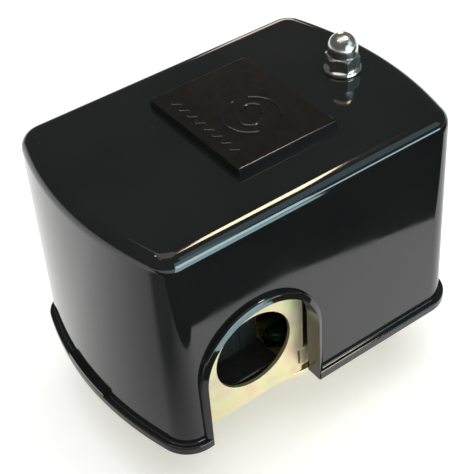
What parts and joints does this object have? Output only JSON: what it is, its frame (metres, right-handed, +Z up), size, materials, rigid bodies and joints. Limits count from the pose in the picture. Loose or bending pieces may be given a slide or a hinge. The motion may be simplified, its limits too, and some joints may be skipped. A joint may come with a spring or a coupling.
{
  "type": "pressure switch",
  "caption": "Pump pressure switch: drafted black cover with two conduit arches over a plated frame, contact block, sprung lever and diaphragm housing with a hex port.",
  "frame": {"origin": "centre of the pressure port's lower face, on the port's axis", "axes": "+Z up along the port axis towards the cover's top, +X along the cover towards the range spring and acorn nut, conduit entries on the -Y and +Y sides near the -X end"},
  "size_m": [0.1006, 0.07, 0.0946],
  "materials": {
    "gloss_black": "high-gloss moulded black plastic",
    "phenolic": "satin black phenolic moulding",
    "brown_plastic": "satin brown moulding compound",
    "diaphragm_rubber": "matte black rubber",
    "nickel": "bright nickel plate",
    "steel": "clear zinc-plated steel",
    "spring_steel": "bright drawn wire",
    "yellow_zinc": "yellow-passivated zinc plate with faint iridescence",
    "brass": "satin brass",
    "green_steel": "green-tinted zinc plate"
  },
  "bodies": {
    "root": {"base_frame": "yellow_zinc", "pressure_housing": "yellow_zinc", "pressure_port": "steel", "diaphragm": "diaphragm_rubber", "pivot_pin": "steel", "range_stud": "steel", "range_stud_nut": "steel", "differential_stud": "steel", "contact_block": "phenolic", "carrier_pin": "steel", "range_spring": "spring_steel", "differential_spring": "spring_steel", "return_spring": "spring_steel", "terminal_strip_1": "brass", "terminal_strip_2": "brass", "terminal_strip_3": "brass", "terminal_strip_4": "brass"},
    "cover": {"cover": "gloss_black"},
    "cover_nut": {"cover_acorn_nut": "nickel"},
    "lever": {"lever": "yellow_zinc", "range_spring_seat": "steel", "differential_spring_seat": "steel"},
    "plunger": {"plunger": "brown_plastic"},
    "carrier": {"contact_carrier": "brown_plastic", "contact_bridge_1": "brass", "contact_bridge_2": "brass", "bridge_spring_1": "spring_steel", "bridge_spring_2": "spring_steel"},
    "range_washer": {"range_washer": "steel"},
    "range_nut": {"range_nut": "steel"},
    "differential_washer": {"differential_washer": "steel"},
    "differential_nut": {"differential_nut": "steel"},
    "terminal_clamp_1": {"terminal_clamp_1": "brass"},
    "terminal_screw_1": {"terminal_screw_1": "steel"},
    "terminal_clamp_2": {"terminal_clamp_2": "brass"},
    "terminal_screw_2": {"terminal_screw_2": "steel"},
    "terminal_clamp_3": {"terminal_clamp_3": "brass"},
    "terminal_screw_3": {"terminal_screw_3": "steel"},
    "terminal_clamp_4": {"terminal_clamp_4": "brass"},
    "terminal_screw_4": {"terminal_screw_4": "steel"},
    "ground_washer_1": {"ground_washer_1": "brass"},
    "ground_screw_1": {"ground_screw_1": "green_steel"},
    "ground_washer_2": {"ground_washer_2": "brass"},
    "ground_screw_2": {"ground_screw_2": "green_steel"},
    "housing_screw_1": {"housing_screw_1": "steel"},
    "housing_screw_2": {"housing_screw_2": "steel"},
    "housing_screw_3": {"housing_screw_3": "steel"},
    "housing_screw_4": {"housing_screw_4": "steel"},
    "block_screw_1": {"block_screw_1": "steel"},
    "block_screw_2": {"block_screw_2": "steel"}
  },
  "joints": [
    {"name": "cover_lift", "type": "slide", "parent": "root", "child": "cover", "axis": [0, 0, 1], "range_m": [0, 0.08]},
    {"name": "cover_nut_turn", "type": "hinge", "parent": "cover", "child": "cover_nut", "pos_m": [0.0345, 0, 0.0843], "axis": [0, 0, 1], "continuous": true},
    {"name": "lever_tilt", "type": "hinge", "parent": "root", "child": "lever", "pos_m": [-0.008, 0, 0.0356], "axis": [0, -1, 0], "range_deg": [0, 4], "stiffness_Nm_per_rad": 0.5, "springref_deg": -11.46, "deforming": ["range_spring", "differential_spring", "return_spring"]},
    {"name": "plunger_slide", "type": "slide", "parent": "root", "child": "plunger", "axis": [0, 0, 1], "range_m": [0, 0.0006]},
    {"name": "carrier_tilt", "type": "hinge", "parent": "root", "child": "carrier", "pos_m": [-0.0125, 0, 0.0514], "axis": [0, 1, 0], "range_deg": [0, 6.8]},
    {"name": "range_washer_travel", "type": "slide", "parent": "root", "child": "range_washer", "axis": [0, 0, 1], "range_m": [-0.0016, 0.0016], "deforming": ["range_spring"]},
    {"name": "range_nut_turn", "type": "hinge", "parent": "range_washer", "child": "range_nut", "pos_m": [0.0345, 0, 0.0678], "axis": [0, 0, 1], "range_deg": [-722, 722]},
    {"name": "differential_washer_travel", "type": "slide", "parent": "root", "child": "differential_washer", "axis": [0, 0, 1], "range_m": [-0.0014, 0.0014], "deforming": ["differential_spring"]},
    {"name": "differential_nut_turn", "type": "hinge", "parent": "differential_washer", "child": "differential_nut", "pos_m": [0.0205, 0, 0.0538], "axis": [0, 0, 1], "range_deg": [-722, 722]},
    {"name": "terminal_clamp_1_travel", "type": "slide", "parent": "root", "child": "terminal_clamp_1", "axis": [0, 0, 1], "range_m": [0, 0.0021]},
    {"name": "terminal_screw_1_turn", "type": "hinge", "parent": "terminal_clamp_1", "child": "terminal_screw_1", "pos_m": [-0.0315, -0.0136, 0.0447], "axis": [0, 0, 1], "range_deg": [0, 1083]},
    {"name": "terminal_clamp_2_travel", "type": "slide", "parent": "root", "child": "terminal_clamp_2", "axis": [0, 0, 1], "range_m": [0, 0.0021]},
    {"name": "terminal_screw_2_turn", "type": "hinge", "parent": "terminal_clamp_2", "child": "terminal_screw_2", "pos_m": [-0.0315, -0.00475, 0.0447], "axis": [0, 0, 1], "range_deg": [0, 1083]},
    {"name": "terminal_clamp_3_travel", "type": "slide", "parent": "root", "child": "terminal_clamp_3", "axis": [0, 0, 1], "range_m": [0, 0.0021]},
    {"name": "terminal_screw_3_turn", "type": "hinge", "parent": "terminal_clamp_3", "child": "terminal_screw_3", "pos_m": [-0.0315, 0.00475, 0.0447], "axis": [0, 0, 1], "range_deg": [0, 1083]},
    {"name": "terminal_clamp_4_travel", "type": "slide", "parent": "root", "child": "terminal_clamp_4", "axis": [0, 0, 1], "range_m": [0, 0.0021]},
    {"name": "terminal_screw_4_turn", "type": "hinge", "parent": "terminal_clamp_4", "child": "terminal_screw_4", "pos_m": [-0.0315, 0.0136, 0.0447], "axis": [0, 0, 1], "range_deg": [0, 1083]},
    {"name": "ground_washer_1_travel", "type": "slide", "parent": "root", "child": "ground_washer_1", "axis": [0, 0, 1], "range_m": [0, 0.0007]},
    {"name": "ground_screw_1_turn", "type": "hinge", "parent": "ground_washer_1", "child": "ground_screw_1", "pos_m": [-0.0025, -0.0175, 0.0265], "axis": [0, 0, 1], "range_deg": [0, 362]},
    {"name": "ground_washer_2_travel", "type": "slide", "parent": "root", "child": "ground_washer_2", "axis": [0, 0, 1], "range_m": [0, 0.0007]},
    {"name": "ground_screw_2_turn", "type": "hinge", "parent": "ground_washer_2", "child": "ground_screw_2", "pos_m": [-0.0025, 0.0175, 0.0265], "axis": [0, 0, 1], "range_deg": [0, 362]},
    {"name": "housing_screw_1_turn", "type": "hinge", "parent": "root", "child": "housing_screw_1", "pos_m": [0.01747, 0.01747, 0.0198], "axis": [0, 0, 1], "continuous": true},
    {"name": "housing_screw_2_turn", "type": "hinge", "parent": "root", "child": "housing_screw_2", "pos_m": [-0.01747, 0.01747, 0.0198], "axis": [0, 0, 1], "continuous": true},
    {"name": "housing_screw_3_turn", "type": "hinge", "parent": "root", "child": "housing_screw_3", "pos_m": [-0.01747, -0.01747, 0.0198], "axis": [0, 0, 1], "continuous": true},
    {"name": "housing_screw_4_turn", "type": "hinge", "parent": "root", "child": "housing_screw_4", "pos_m": [0.01747, -0.01747, 0.0198], "axis": [0, 0, 1], "continuous": true},
    {"name": "block_screw_1_turn", "type": "hinge", "parent": "root", "child": "block_screw_1", "pos_m": [-0.035, -0.0225, 0.0288], "axis": [0, 0, 1], "continuous": true},
    {"name": "block_screw_2_turn", "type": "hinge", "parent": "root", "child": "block_screw_2", "pos_m": [-0.035, 0.0225, 0.0288], "axis": [0, 0, 1], "continuous": true}
  ],
  "couplings": [
    {"joint": "plunger_slide", "follows": "lever_tilt", "m_per_rad": 0.008},
    {"joint": "carrier_tilt", "follows": "lever_tilt", "ratio": 1.68},
    {"joint": "range_nut_turn", "follows": "range_washer_travel", "rad_per_m": 7854},
    {"joint": "differential_nut_turn", "follows": "differential_washer_travel", "rad_per_m": 8976},
    {"joint": "terminal_screw_1_turn", "follows": "terminal_clamp_1_travel", "rad_per_m": 8976},
    {"joint": "terminal_screw_2_turn", "follows": "terminal_clamp_2_travel", "rad_per_m": 8976},
    {"joint": "terminal_screw_3_turn", "follows": "terminal_clamp_3_travel", "rad_per_m": 8976},
    {"joint": "terminal_screw_4_turn", "follows": "terminal_clamp_4_travel", "rad_per_m": 8976},
    {"joint": "ground_screw_1_turn", "follows": "ground_washer_1_travel", "rad_per_m": 8976},
    {"joint": "ground_screw_2_turn", "follows": "ground_washer_2_travel", "rad_per_m": 8976}
  ]
}
